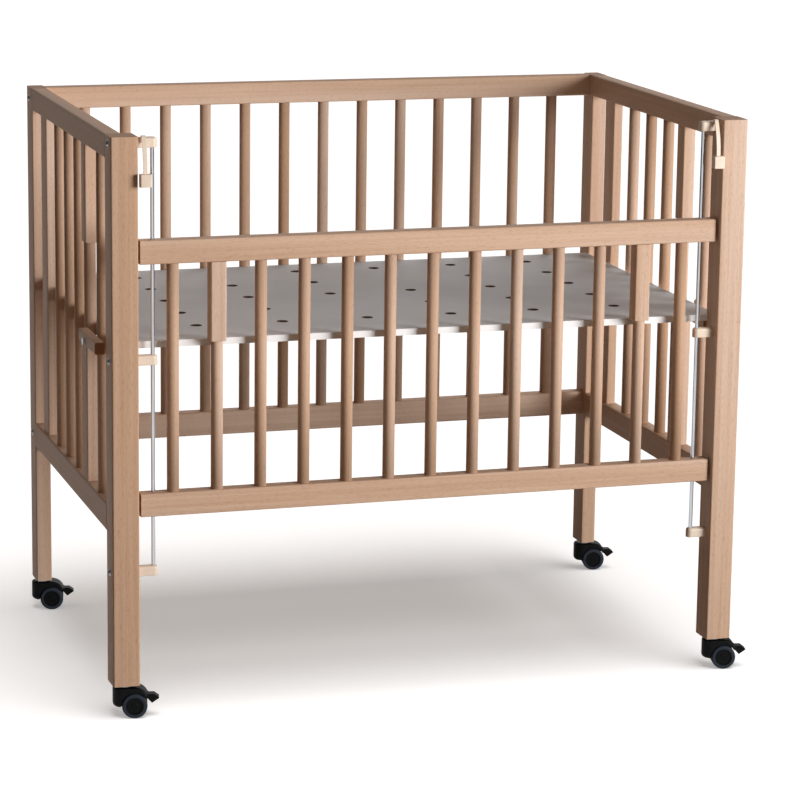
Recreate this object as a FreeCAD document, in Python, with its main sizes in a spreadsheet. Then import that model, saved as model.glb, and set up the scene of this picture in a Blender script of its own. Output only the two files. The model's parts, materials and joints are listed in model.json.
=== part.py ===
import FreeCAD, Part
import math
import os
import re
import Sketcher

# Bedside sleeper crib: two end frames and a back panel of beech, a front side that
# slides on two steel rods, a perforated base and four braked twin-wheel castors.
# Frame: +Z up, +X to the right, the sliding side faces -Y. The origin is on the floor
# under the middle of the frame. All lengths are in millimetres.

SIZES = {
    # whole frame, castors included in the levels below
    "frame_length": 988, "frame_depth": 640, "post_length": 820, "castor_height": 52,
    # posts and end frames
    "front_post_width": 40, "front_post_depth": 44,
    "back_post_width": 25, "back_post_depth": 44,
    "edge_radius": 2.5, "end_thickness": 25,
    "top_rail_height": 35, "bottom_rail_height": 40, "bottom_rail_rise": 229,
    # round slats and their tenons
    "slat_diameter": 18, "tenon_diameter": 11, "tenon_length": 12,
    "tenon_end_play": 1, "bore_play": 0.1,
    "end_slat_front": 119, "end_slat_second": 210, "end_slat_count": 4,
    # square blocks on the second slat of each end frame, and the wide rear board
    "end_block_thickness": 20, "end_block_depth": 28, "end_block_length": 150,
    "stop_block_depth": 38, "stop_block_length": 215,
    "stop_hole_diameter": 5, "stop_hole_pitch": 28, "stop_hole_count": 6,
    "stop_hole_rise": 40,
    "end_board_thickness": 16, "end_board_depth": 41, "end_board_gap": 49.5,
    # back panel
    "panel_thickness": 24, "back_inset": 8,
    "back_slat_count": 13, "back_slat_margin": 65.8,
    # sliding side, between the front posts
    "side_gap": 4.5, "side_inset": 8, "side_rail_height": 35,
    "side_rise": 255, "side_height": 412,
    "side_slat_count": 13, "side_slat_margin": 50.5,
    "side_block_width": 24, "side_block_length": 118, "side_block_slat": 5,
    # guide rods and the arms that hold them
    "rod_diameter": 6, "rod_reach": 25, "rod_play": 0.3, "rod_seat": 12,
    "arm_height": 15, "arm_depth": 14, "arm_top_round": 4, "arm_low_round": 1.2,
    "top_arm_rise": 802, "middle_arm_rise": 482, "bottom_arm_rise": 164,
    # latch tongue: a strip that hangs from the top arm, with a block at its end
    "strip_width": 6, "strip_thickness": 1.8, "strip_bend": 2.8,
    "strip_root": 7.5, "strip_lean": 17, "strip_drop": 50.5, "hinge_play": 0.5,
    "catch_width": 17, "catch_depth": 12, "catch_height": 18.5, "catch_round": 1.5,
    "catch_wall_gap": 1,
    # base board, its cleats and clamps
    "base_thickness": 10, "base_rise": 514,
    "base_side_gap": 1.5, "base_front_gap": 2, "base_back_gap": 2,
    "vent_diameter": 18, "vent_columns": 6, "vent_end_margin": 131.75,
    "vent_rows": 5, "vent_front_margin": 101, "vent_back_margin": 63,
    "cleat_width": 18, "cleat_height": 14, "cleat_end_gap": 6,
    "clamp_length": 116, "clamp_height": 18, "clamp_thickness": 15,
    "clamp_front": 64, "clamp_bolt_place": 139, "clamp_bolt_rise": 6,
    "seat_gap": 0.3,
    # bolts
    "bolt_diameter": 6, "bolt_head_diameter": 11, "bolt_head_height": 3,
    "arm_bolt_grip": 12, "rail_bolt_grip": 30,
    "nut_diameter": 14, "nut_height": 6, "wing_span": 28, "wing_thickness": 2.5,
    "wing_height": 11,
    # castors: swivel axis at zero, levels from the floor, the trail along local X
    "wheel_diameter": 38, "wheel_width": 11, "wheel_gap": 8.8, "castor_trail": 16,
    "castor_turn": -12, "tyre_thickness": 5.5, "tyre_round": 2.6,
    "hub_recess": 1.5, "hub_rim": 1.8, "hub_step": 0.8, "hub_cap_diameter": 9,
    "axle_diameter": 5, "hood_width": 30, "hood_clearance": 1.4, "hood_top": 47.7,
    "hood_bend": 21, "hood_end_turn": 25, "hood_round": 3,
    "nose_shift": 2, "nose_foot": 16, "nose_round": 7,
    "web_play": 0.7, "web_radius": 11, "web_foot_turn": 65,
    "collar_diameter": 24, "stem_diameter": 10, "stem_length": 35,
    "pin_diameter": 8, "pin_length": 9, "fit_play": 0.05, "swivel_gap": 0.3,
    "lug_diameter": 6.4, "lug_span": 20, "pedal_pin_diameter": 3,
    "pedal_pivot_out": 18.6, "pedal_pivot_up": 13.6, "pedal_play": 0.3,
    "pedal_width": 14, "pedal_reach": 18.5, "pedal_tip_drop": 3, "pedal_rise": 2.9,
    "pedal_back": 10.5, "pedal_foot_out": 7, "pedal_foot_drop": 11,
    "pedal_throat_out": 1, "pedal_throat_drop": 4.4, "pedal_round": 1.2,
}

doc = FreeCAD.newDocument("bedside_sleeper_crib")
sheet = doc.addObject("Spreadsheet::Sheet", "Sizes")
for row, (alias, size) in enumerate(SIZES.items(), start=1):
    sheet.set(f"A{row}", alias)
    sheet.set(f"B{row}", str(size))
    sheet.setAlias(f"B{row}", alias)
places = doc.addObject("Spreadsheet::Sheet", "Places")
doc.recompute()

nodes = []
SIDES = {"left": -1, "right": 1}


# --- helpers -------------------------------------------------------------------------

def named(formula):
    """A formula with the sheet's name before each of its aliases."""
    return re.sub(r"[a-z]\w+", lambda w: "Sizes." + w[0] if w[0] in SIZES else w[0],
                  str(formula))


def bind(item, place, formula):
    """Ties a property to a formula written with the sheet's names."""
    item.setExpression(place, named(formula))


def value(formula):
    """What a formula comes to with the sheet's present sizes."""
    places.set("A1", f"={named(formula)}")
    places.recompute()
    return float(places.get("A1"))


def place(item, x, y, z, turn=None, axis=(0, 0, 1)):
    if turn is not None:
        item.Placement = FreeCAD.Placement(
            FreeCAD.Vector(), FreeCAD.Rotation(FreeCAD.Vector(*axis), 1))
        bind(item, "Placement.Rotation.Angle", f"({turn}) * 1 deg")
    for letter, formula in zip("xyz", (x, y, z)):
        bind(item, f"Placement.Base.{letter}", formula)
    return item


def new_body(label, node=True):
    body = doc.addObject("PartDesign::Body", label)
    body.Label = label
    body.AllowCompound = True
    if node:
        nodes.append(body)
    return body


def origin_part(body, role):
    return next(f for f in body.Origin.OriginFeatures if f.Role == role)


def sketch_on(body, role, offset=None):
    """A sketch on one of the body's origin planes, moved along the plane's normal."""
    sketch = body.newObject("Sketcher::SketchObject", body.Name + "_sketch")
    sketch.AttachmentSupport = (origin_part(body, role), [""])
    sketch.MapMode = "FlatFace"
    if offset is not None:
        bind(sketch, "AttachmentOffset.Base.z", offset)
    return sketch


def dimension(sketch, kind, formula, *where, start=1.0):
    index = sketch.addConstraint(Sketcher.Constraint(kind, *where, start))
    bind(sketch, f"Constraints[{index}]", formula)


def pin_coordinate(sketch, shape, point, axis, formula):
    """Holds one coordinate of a sketch point, by a formula measured from the origin."""
    if formula == "0":
        line = {"x": -2, "y": -1}[axis]
        sketch.addConstraint(Sketcher.Constraint("PointOnObject", shape, point, line))
    else:
        dimension(sketch, {"x": "DistanceX", "y": "DistanceY"}[axis], formula,
                  -1, 1, shape, point, start=value(formula))


def pin_point(sketch, shape, point, x, y):
    pin_coordinate(sketch, shape, point, "x", x)
    pin_coordinate(sketch, shape, point, "y", y)


def arc_between(start, end, axis, known):
    """The arc, counterclockwise from start to end, whose centre has this x or y."""
    bulk = end.dot(end) - start.dot(start)
    if axis == "x":
        centre = FreeCAD.Vector(
            known, (bulk / 2 - (end.x - start.x) * known) / (end.y - start.y), 0)
    else:
        centre = FreeCAD.Vector(
            (bulk / 2 - (end.y - start.y) * known) / (end.x - start.x), known, 0)
    angles = [math.atan2(p.y - centre.y, p.x - centre.x) for p in (start, end)]
    if angles[1] < angles[0]:
        angles[1] += 2 * math.pi
    whole = Part.Circle(centre, FreeCAD.Vector(0, 0, 1), start.distanceToPoint(centre))
    return Part.ArcOfCircle(whole, *angles)


def outline(sketch, corners):
    """A closed outline through corners (x, y), in order. The edge that starts at a
    corner is straight, or an arc where the corner goes on with the arc's sense, "ccw"
    or "cw", and one coordinate of its centre, such as "x", formula."""
    points = [FreeCAD.Vector(value(c[0]), value(c[1]), 0) for c in corners]
    edges = []
    for corner, start, end in zip(corners, points, points[1:] + points[:1]):
        if len(corner) == 2:
            edges.append((sketch.addGeometry(Part.LineSegment(start, end)), 1, 2))
            continue
        sense, axis, formula = corner[2:]
        if sense == "ccw":
            arc = arc_between(start, end, axis, value(formula))
            edges.append((sketch.addGeometry(arc), 1, 2))
        else:
            arc = arc_between(end, start, axis, value(formula))
            edges.append((sketch.addGeometry(arc), 2, 1))
    for i, (edge, first, last) in enumerate(edges):
        after, after_first, _ = edges[(i + 1) % len(edges)]
        sketch.addConstraint(
            Sketcher.Constraint("Coincident", edge, last, after, after_first))
        pin_point(sketch, edge, first, *corners[i][:2])
        if len(corners[i]) > 2:
            pin_coordinate(sketch, edge, 3, *corners[i][3:])


def circle(sketch, x, y, diameter):
    shape = sketch.addGeometry(
        Part.Circle(FreeCAD.Vector(1, 1, 0), FreeCAD.Vector(0, 0, 1), 1))
    pin_point(sketch, shape, 3, x, y)
    dimension(sketch, "Diameter", diameter, shape)


def rounded_rectangle(sketch, width, height, radius):
    """A rectangle from the origin to (width, height) with round corners."""
    w, h, r = 30, 40, 3
    ends = [((r, 0), (w - r, 0)), ((w, r), (w, h - r)),
            ((w - r, h), (r, h)), ((0, h - r), (0, r))]
    lines = [sketch.addGeometry(Part.LineSegment(
        FreeCAD.Vector(*a, 0), FreeCAD.Vector(*b, 0))) for a, b in ends]
    centres = [(w - r, r), (w - r, h - r), (r, h - r), (r, r)]
    quarter = 1.5707963267948966
    arcs = [sketch.addGeometry(Part.ArcOfCircle(
        Part.Circle(FreeCAD.Vector(*c, 0), FreeCAD.Vector(0, 0, 1), r),
        (i - 1) * quarter, i * quarter)) for i, c in enumerate(centres)]
    for i in range(4):
        sketch.addConstraint(Sketcher.Constraint("Tangent", lines[i], 2, arcs[i], 1))
        sketch.addConstraint(
            Sketcher.Constraint("Tangent", arcs[i], 2, lines[(i + 1) % 4], 1))
        sketch.addConstraint(
            Sketcher.Constraint("Vertical" if i % 2 else "Horizontal", lines[i]))
    for arc in arcs[1:]:
        sketch.addConstraint(Sketcher.Constraint("Equal", arcs[0], arc))
    sketch.addConstraint(Sketcher.Constraint("PointOnObject", lines[0], 1, -1))
    sketch.addConstraint(Sketcher.Constraint("PointOnObject", lines[3], 1, -2))
    dimension(sketch, "Radius", radius, arcs[0])
    dimension(sketch, "DistanceX", width, lines[3], 1, lines[1], 1)
    dimension(sketch, "DistanceY", height, lines[0], 1, lines[2], 1)


def pad(body, sketch, length, reverse=False, centred=False):
    feature = body.newObject("PartDesign::Pad", body.Name + "_pad")
    feature.Profile = sketch
    bind(feature, "Length", length)
    feature.Reversed = reverse
    if centred:
        feature.SideType = "Symmetric"
    doc.recompute()
    return feature


def cut(body, sketch, depth=None, reverse=False, centred=False):
    """Pockets the sketch, to a depth or right through, and proves that it cut."""
    before = body.Shape.Volume
    feature = body.newObject("PartDesign::Pocket", body.Name + "_pocket")
    feature.Profile = sketch
    if depth is None:
        feature.Type = "ThroughAll"
    else:
        bind(feature, "Length", depth)
    feature.Reversed = reverse
    if centred:
        feature.SideType = "Symmetric"
    doc.recompute()
    if not feature.Shape.Volume < before:
        raise RuntimeError(f"{feature.Name} cuts nothing")
    return feature


def turn(body, sketch, axis="V_Axis"):
    feature = body.newObject("PartDesign::Revolution", body.Name + "_turned")
    feature.Profile = sketch
    feature.ReferenceAxis = (sketch, [axis])
    feature.Angle = 360
    doc.recompute()
    return feature


def repeat(body, features, role, count, pitch):
    """Repeats features along one of the body's origin axes."""
    pattern = body.newObject("PartDesign::LinearPattern", body.Name + "_row")
    pattern.Originals = features
    pattern.Direction = (origin_part(body, role), [""])
    bind(pattern, "Length", f"({count} - 1) * {pitch}")
    bind(pattern, "Occurrences", count)
    body.Tip = pattern
    doc.recompute()
    return pattern


def soften(body, radius, chosen):
    """Rounds those edges of the body so far that `chosen` accepts by their box."""
    solid = body.Tip
    names = [f"Edge{i}" for i, edge in enumerate(solid.Shape.Edges, start=1)
             if chosen(edge.BoundBox)]
    if not names:
        raise RuntimeError(f"{body.Label} has no edge to round")
    feature = body.newObject("PartDesign::Fillet", body.Name + "_round")
    feature.Base = (solid, names)
    bind(feature, "Radius", radius)
    doc.recompute()
    return feature


def near(value, target):
    return abs(value - target) < 0.01


def bar(label, role, width, height, length):
    """A bar with round long edges, its least corner at the body's origin.

    XY_Plane stands it up along Z, YZ_Plane lays it along X and XZ_Plane along Y."""
    body = new_body(label)
    sketch = sketch_on(body, role)
    rounded_rectangle(sketch, width, height, "edge_radius")
    pad(body, sketch, length, reverse=role == "XZ_Plane")
    return body


def rod(label, radius, length, x, y, z, role="Z"):
    """A plain cylinder along X or Z that becomes a piece of a larger feature."""
    cylinder = doc.addObject("Part::Cylinder", label)
    bind(cylinder, "Radius", radius)
    bind(cylinder, "Height", length)
    if role == "X":
        place(cylinder, x, y, z, 90, (0, 1, 0))
    else:
        place(cylinder, x, y, z)
    return cylinder


def inner_x(side, width):
    """The least X of a piece of this width whose outer face is the frame's end."""
    return "-frame_length / 2" if side == "left" else f"frame_length / 2 - {width}"


FRONT, BACK, FLOOR = "-frame_depth / 2", "frame_depth / 2", "castor_height"
SLAT_LENGTH = "(post_length - top_rail_height - bottom_rail_rise - bottom_rail_height)"
SIDE_SLAT_LENGTH = "(side_height - 2 * side_rail_height)"
BOTTOM_RAIL_TOP = "(castor_height + bottom_rail_rise + bottom_rail_height)"
TOP_RAIL_LEVEL = "(castor_height + post_length - top_rail_height)"
SIDE_LEVEL = "(castor_height + side_rise)"
SIDE_TOP_LEVEL = "(castor_height + side_rise + side_height - side_rail_height)"
SIDE_START = "(-frame_length / 2 + front_post_width + side_gap)"
SIDE_LENGTH = "(frame_length - 2 * front_post_width - 2 * side_gap)"
PANEL_SPAN = "(frame_length - 2 * end_thickness)"
ROD_X = "(frame_length / 2 - front_post_width - rod_reach)"
ROD_Y = "(-frame_depth / 2 + side_inset + panel_thickness / 2)"
BACK_RAIL_Y = "(frame_depth / 2 - back_inset - panel_thickness)"
BACK_PITCH = f"(({PANEL_SPAN} - 2 * back_slat_margin) / (back_slat_count - 1))"
SIDE_PITCH = f"(({SIDE_LENGTH} - 2 * side_slat_margin) / (side_slat_count - 1))"
END_BOARD_FRONT = "(frame_depth - back_post_depth - end_board_gap - end_board_depth)"
END_PITCH = f"(({END_BOARD_FRONT} - end_slat_second) / end_slat_count)"
ARM_LEVELS = {"top": "top_arm_rise", "middle": "middle_arm_rise",
              "bottom": "bottom_arm_rise"}
RAIL_BOLT_LEVELS = (f"{TOP_RAIL_LEVEL} + top_rail_height / 2",
                    f"{BOTTOM_RAIL_TOP} - bottom_rail_height / 2")


# --- posts, rails and slats ----------------------------------------------------------

def front_post(side):
    """Square-edged post with three through holes for the rod arms' bolts."""
    post = bar(f"front_post_{side}", "XY_Plane", "front_post_width",
               "front_post_depth", "post_length")
    holes = sketch_on(post, "YZ_Plane")
    for rise in ARM_LEVELS.values():
        circle(holes, "side_inset + panel_thickness / 2", f"{rise} + arm_height / 2",
               "bolt_diameter + 2 * bore_play")
    cut(post, holes, "front_post_width", reverse=True)
    stem = sketch_on(post, "XY_Plane")
    circle(stem, "front_post_width / 2", "front_post_depth / 2",
           "stem_diameter + 2 * bore_play")
    cut(post, stem, "stem_length + tenon_end_play", reverse=True)
    place(post, inner_x(side, "front_post_width"), FRONT, FLOOR)


def back_post(side):
    """Slimmer post, bored across for the two bolts that draw the back panel in."""
    post = bar(f"back_post_{side}", "XY_Plane", "back_post_width",
               "back_post_depth", "post_length")
    holes = sketch_on(post, "YZ_Plane")
    for level in RAIL_BOLT_LEVELS:
        circle(holes, "back_post_depth - back_inset - panel_thickness / 2",
               f"{level} - castor_height", "bolt_diameter + 2 * bore_play")
    cut(post, holes, "back_post_width", reverse=True)
    stem = sketch_on(post, "XY_Plane")
    circle(stem, "back_post_width / 2", "back_post_depth / 2",
           "stem_diameter + 2 * bore_play")
    cut(post, stem, "stem_length + tenon_end_play", reverse=True)
    place(post, inner_x(side, "back_post_width"), f"{BACK} - back_post_depth", FLOOR)


def mortise(body, x, y, height, upper):
    """One round mortise: in the underside of an upper rail, or the top of a lower."""
    hole = sketch_on(body, "XY_Plane", None if upper else height)
    circle(hole, x, y, "tenon_diameter + 2 * bore_play")
    return cut(body, hole, "tenon_length + tenon_end_play", reverse=upper)


def end_rail(side, level):
    """Rail of an end frame, between its posts, with a mortise under each slat."""
    upper = level == "top"
    height = f"{level}_rail_height"
    rail = bar(f"end_{level}_rail_{side}", "XZ_Plane", "end_thickness", height,
               "frame_depth - front_post_depth - back_post_depth")
    middle = "end_thickness / 2"
    mortise(rail, middle, "end_slat_front - front_post_depth", height, upper)
    first = mortise(rail, middle, "end_slat_second - front_post_depth", height, upper)
    repeat(rail, [first], "Y_Axis", "end_slat_count", END_PITCH)
    base = TOP_RAIL_LEVEL if upper else "castor_height + bottom_rail_rise"
    place(rail, inner_x(side, "end_thickness"), f"{FRONT} + front_post_depth", base)


def panel_rail(label, height, length, upper, count, pitch):
    """Rail along X with a row of mortises centred on its length."""
    rail = bar(label, "YZ_Plane", "panel_thickness", height, length)
    first = mortise(rail, f"{length} / 2 - ({count} - 1) * {pitch} / 2",
                    "panel_thickness / 2", height, upper)
    repeat(rail, [first], "X_Axis", count, pitch)
    return rail


def slat(body, length, offset=None):
    """A round slat on the body's Z axis, with a thinner tenon at both ends."""
    half = sketch_on(body, "XZ_Plane", offset)
    outline(half, [
        ("0", "-tenon_length"), ("tenon_diameter / 2", "-tenon_length"),
        ("tenon_diameter / 2", "0"), ("slat_diameter / 2", "0"),
        ("slat_diameter / 2", length), ("tenon_diameter / 2", length),
        ("tenon_diameter / 2", f"{length} + tenon_length"),
        ("0", f"{length} + tenon_length")])
    return turn(body, half)


def slat_row(label, length, count, pitch):
    body = new_body(label)
    repeat(body, [slat(body, length)], "X_Axis", count, pitch)
    return body


def end_slats(side):
    """Round slats of an end frame: one near the front post, then an even row."""
    body = new_body(f"end_slats_{side}")
    slat(body, SLAT_LENGTH, "end_slat_second - end_slat_front")
    row = slat(body, SLAT_LENGTH)
    repeat(body, [row], "Y_Axis", "end_slat_count", END_PITCH)
    place(body, f"{inner_x(side, 'end_thickness')} + end_thickness / 2",
          f"{FRONT} + end_slat_second", BOTTOM_RAIL_TOP)


def sleeve_block(label, width, depth, length):
    """Square block with a bore along Z through its middle for a round slat."""
    block = bar(label, "XY_Plane", width, depth, length)
    bore = sketch_on(block, "XY_Plane")
    circle(bore, f"{width} / 2", f"{depth} / 2", "slat_diameter + 2 * bore_play")
    cut(block, bore, length, reverse=True)
    return block


def end_blocks(side):
    """Blocks on an end frame's second slat: one under the top rail, and one on the
    bottom rail with a row of holes for the base's height."""
    left = (f"{inner_x(side, 'end_thickness')}"
            " + end_thickness / 2 - end_block_thickness / 2")
    upper = sleeve_block(f"end_block_upper_{side}", "end_block_thickness",
                         "end_block_depth", "end_block_length")
    place(upper, left, f"{FRONT} + end_slat_second - end_block_depth / 2",
          f"{TOP_RAIL_LEVEL} - end_block_length")
    lower = sleeve_block(f"end_block_lower_{side}", "end_block_thickness",
                         "stop_block_depth", "stop_block_length")
    hole = sketch_on(lower, "YZ_Plane")
    circle(hole, "stop_block_depth - (stop_block_depth - slat_diameter) / 4",
           "stop_hole_rise", "stop_hole_diameter")
    first = cut(lower, hole, "end_block_thickness", reverse=True)
    repeat(lower, [first], "Z_Axis", "stop_hole_count", "stop_hole_pitch")
    place(lower, left, f"{FRONT} + end_slat_second - stop_block_depth / 2",
          BOTTOM_RAIL_TOP)


def end_board(side):
    """Wide flat upright between the last round slat and the back post."""
    board = bar(f"end_board_{side}", "XY_Plane", "end_board_thickness",
                "end_board_depth", SLAT_LENGTH)
    place(board, f"{inner_x(side, 'end_thickness')}"
          " + end_thickness / 2 - end_board_thickness / 2",
          f"{FRONT} + {END_BOARD_FRONT}", BOTTOM_RAIL_TOP)


def back_panel():
    for level, upper in (("top", True), ("bottom", False)):
        height = f"{level}_rail_height"
        rail = panel_rail(f"back_{level}_rail", height, PANEL_SPAN, upper,
                          "back_slat_count", BACK_PITCH)
        for offset, inward in (("0", True), (PANEL_SPAN, False)):
            bore = sketch_on(rail, "YZ_Plane", offset)
            circle(bore, "panel_thickness / 2", f"{height} / 2",
                   "bolt_diameter + 2 * bore_play")
            cut(rail, bore, "rail_bolt_grip + tenon_end_play", reverse=inward)
        base = TOP_RAIL_LEVEL if upper else "castor_height + bottom_rail_rise"
        place(rail, f"-{PANEL_SPAN} / 2", BACK_RAIL_Y, base)
    row = slat_row("back_slats", SLAT_LENGTH, "back_slat_count", BACK_PITCH)
    place(row, f"back_slat_margin - {PANEL_SPAN} / 2",
          f"{BACK_RAIL_Y} + panel_thickness / 2", BOTTOM_RAIL_TOP)


# --- sliding side --------------------------------------------------------------------

def sliding_side():
    for level, upper in (("top", True), ("bottom", False)):
        rail = panel_rail(f"side_{level}_rail", "side_rail_height", SIDE_LENGTH,
                          upper, "side_slat_count", SIDE_PITCH)
        ways = sketch_on(rail, "XY_Plane")
        for centre in (f"{SIDE_LENGTH} / 2 - {ROD_X}", f"{SIDE_LENGTH} / 2 + {ROD_X}"):
            circle(ways, centre, "panel_thickness / 2", "rod_diameter + 2 * rod_play")
        cut(rail, ways, "side_rail_height", reverse=True)
        place(rail, SIDE_START, f"{FRONT} + side_inset",
              SIDE_TOP_LEVEL if upper else SIDE_LEVEL)
    row = slat_row("side_slats", SIDE_SLAT_LENGTH, "side_slat_count", SIDE_PITCH)
    place(row, f"side_slat_margin - {SIDE_LENGTH} / 2", ROD_Y,
          f"{SIDE_LEVEL} + side_rail_height")
    for side, sign in SIDES.items():
        block = sleeve_block(f"side_block_{side}", "side_block_width",
                             "side_block_width", "side_block_length")
        place(block,
              f"{sign} * side_block_slat * {SIDE_PITCH} - side_block_width / 2",
              f"{ROD_Y} - side_block_width / 2",
              f"{SIDE_TOP_LEVEL} - side_block_length")


# --- guide rods, arms and latches ----------------------------------------------------

STRIP_PLACE = "(catch_wall_gap + catch_width / 2)"
STRIP_Y = f"({ROD_Y} - arm_depth / 2 - strip_thickness / 2)"
HINGE_RISE = "(castor_height + top_arm_rise + arm_height)"


def rod_arm(side, level):
    """Moulded arm, bolted to the post's inner face, that holds the guide rod in its
    round end. The top one has the root of the latch strip on its front."""
    arm = new_body(f"rod_arm_{level}_{side}")
    end = sketch_on(arm, "XY_Plane")
    circle(end, "rod_reach", "0", "arm_depth")
    pad(arm, end, "arm_height")
    neck = sketch_on(arm, "XY_Plane")
    outline(neck, [("0", "-arm_depth / 2"), ("rod_reach", "-arm_depth / 2"),
                   ("rod_reach", "arm_depth / 2"), ("0", "arm_depth / 2")])
    pad(arm, neck, "arm_height")
    for radius, level_z in (("arm_top_round", value("arm_height")),
                            ("arm_low_round", 0)):
        soften(arm, radius, lambda box: near(box.ZMin, level_z)
               and near(box.ZMax, level_z) and box.XLength > 0.01)
    bore = sketch_on(arm, "XY_Plane", "arm_height" if level == "bottom" else None)
    circle(bore, "rod_reach", "0", "rod_diameter + 2 * fit_play")
    depth = "arm_height" if level == "middle" else "rod_seat"
    cut(arm, bore, depth, reverse=level != "bottom")
    bolt = sketch_on(arm, "YZ_Plane")
    circle(bolt, "0", "arm_height / 2", "bolt_diameter + 2 * bore_play")
    cut(arm, bolt, "arm_bolt_grip + tenon_end_play", reverse=True)
    if level == "top":
        root = sketch_on(arm, "XY_Plane", "arm_height - strip_root - hinge_play")
        near_x, far_x = (f"{STRIP_PLACE} - strip_width / 2",
                         f"{STRIP_PLACE} + strip_width / 2")
        back = f"{SIDES[side]} * arm_depth / 2"
        front = f"{SIDES[side]} * (arm_depth / 2 + strip_thickness)"
        outline(root, [(near_x, back), (near_x, front), (far_x, front),
                       (far_x, back)])
        pad(arm, root, "strip_root")
    return arm


def rod_arms(side, sign):
    for level, rise in ARM_LEVELS.items():
        arm = rod_arm(side, level)
        face = f"{sign} * (frame_length / 2 - front_post_width)"
        if side == "left":
            place(arm, face, ROD_Y, f"castor_height + {rise}")
        else:
            place(arm, face, ROD_Y, f"castor_height + {rise}", 180)


def guide_rod(side, sign):
    body = new_body(f"guide_rod_{side}")
    section = sketch_on(body, "XY_Plane")
    circle(section, "0", "0", "rod_diameter")
    pad(body, section,
        "top_arm_rise + rod_seat - bottom_arm_rise - arm_height + rod_seat")
    place(body, f"{sign} * {ROD_X}", ROD_Y,
          "castor_height + bottom_arm_rise + arm_height - rod_seat")


STRIP_SPREAD = "(strip_lean - 2 * strip_bend)"
STRIP_RADIUS = ("((strip_lean ^ 2 - 2 * strip_bend * strip_lean + strip_drop ^ 2)"
                f" / (2 * {STRIP_SPREAD}))")
STRIP_SINE = f"(strip_drop / ({STRIP_RADIUS} - strip_bend))"
STRIP_COSINE = (f"((strip_lean - strip_bend - {STRIP_RADIUS})"
                f" / ({STRIP_RADIUS} - strip_bend))")
CATCH_BACK = "(-strip_lean - strip_thickness / 2 + catch_depth / 2)"


def strip_join(radius):
    """Where the strip's small bend meets its long one, at this radius of the bend."""
    return (f"-strip_bend + {radius} * {STRIP_COSINE}", f"{radius} * {STRIP_SINE}")


def latch(side, sign):
    """Springy strip that bends over in front of the top arm and hangs down in one
    long arc, with a block at its end that goes under the raised side's top rail."""
    body = new_body(f"latch_{side}")
    strip = sketch_on(body, "YZ_Plane")
    half = "strip_thickness / 2"
    outline(strip, [
        (half, "0", "ccw", "y", "0"),
        (*strip_join(f"(strip_bend + {half})"), "ccw", "y", "-strip_drop"),
        (f"-strip_lean - {half}", "-strip_drop"),
        (f"-strip_lean + {half}", "-strip_drop", "cw", "y", "-strip_drop"),
        (*strip_join(f"(strip_bend - {half})"), "cw", "y", "0"),
        (f"-{half}", "0")])
    pad(body, strip, "strip_width", centred=True)
    catch = sketch_on(body, "XY_Plane", "-strip_drop - catch_height")
    outline(catch, [
        ("-catch_width / 2", CATCH_BACK), ("catch_width / 2", CATCH_BACK),
        ("catch_width / 2", f"{CATCH_BACK} - catch_depth"),
        ("-catch_width / 2", f"{CATCH_BACK} - catch_depth")])
    pad(body, catch, "catch_height")
    soften(body, "catch_round", lambda box: near(box.ZLength, value("catch_height"))
           and near(abs(box.XMin), value("catch_width") / 2))
    place(body, f"{sign} * (frame_length / 2 - front_post_width - {STRIP_PLACE})",
          STRIP_Y, HINGE_RISE)


# --- base ----------------------------------------------------------------------------

BASE_FRONT = "(-frame_depth / 2 + side_inset + panel_thickness + base_front_gap)"
BASE_DEPTH = f"({BACK_RAIL_Y} - base_back_gap - {BASE_FRONT})"
POST_BEHIND = ("(front_post_depth + base_side_gap"
               " - side_inset - panel_thickness - base_front_gap)")


def on_base(body):
    """Places a piece that is drawn from the middle of the board's top front edge."""
    return place(body, "0", BASE_FRONT, "castor_height + base_rise")


def base_board():
    """White board, notched at its front corners for the posts, with round vents."""
    board = new_body("base_board")
    plan = sketch_on(board, "XY_Plane", "-base_thickness")
    wide = "(frame_length / 2 - end_thickness - base_side_gap)"
    column_pitch = f"(2 * ({wide} - vent_end_margin) / (vent_columns - 1))"
    row_pitch = (f"(({BASE_DEPTH} - vent_front_margin - vent_back_margin)"
                 " / (vent_rows - 1))")
    narrow = "(frame_length / 2 - front_post_width - base_side_gap)"
    outline(plan, [
        (f"-{narrow}", "0"), (narrow, "0"), (narrow, POST_BEHIND),
        (wide, POST_BEHIND), (wide, BASE_DEPTH), (f"-{wide}", BASE_DEPTH),
        (f"-{wide}", POST_BEHIND), (f"-{narrow}", POST_BEHIND)])
    pad(board, plan, "base_thickness")
    vent = sketch_on(board, "XY_Plane")
    circle(vent, f"vent_end_margin - {wide}", "vent_front_margin", "vent_diameter")
    first = cut(board, vent, "base_thickness")
    across = board.newObject("PartDesign::MultiTransform", "base_board_vents")
    across.Originals = [first]
    rows = []
    for role, count, pitch in (("X_Axis", "vent_columns", column_pitch),
                               ("Y_Axis", "vent_rows", row_pitch)):
        row = doc.addObject("PartDesign::LinearPattern", "vent_row")
        row.Direction = (origin_part(board, role), [""])
        bind(row, "Length", f"({count} - 1) * {pitch}")
        bind(row, "Occurrences", count)
        board.addObject(row)
        rows.append(row)
    across.Transformations = rows
    board.Tip = across
    on_base(board)


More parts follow.
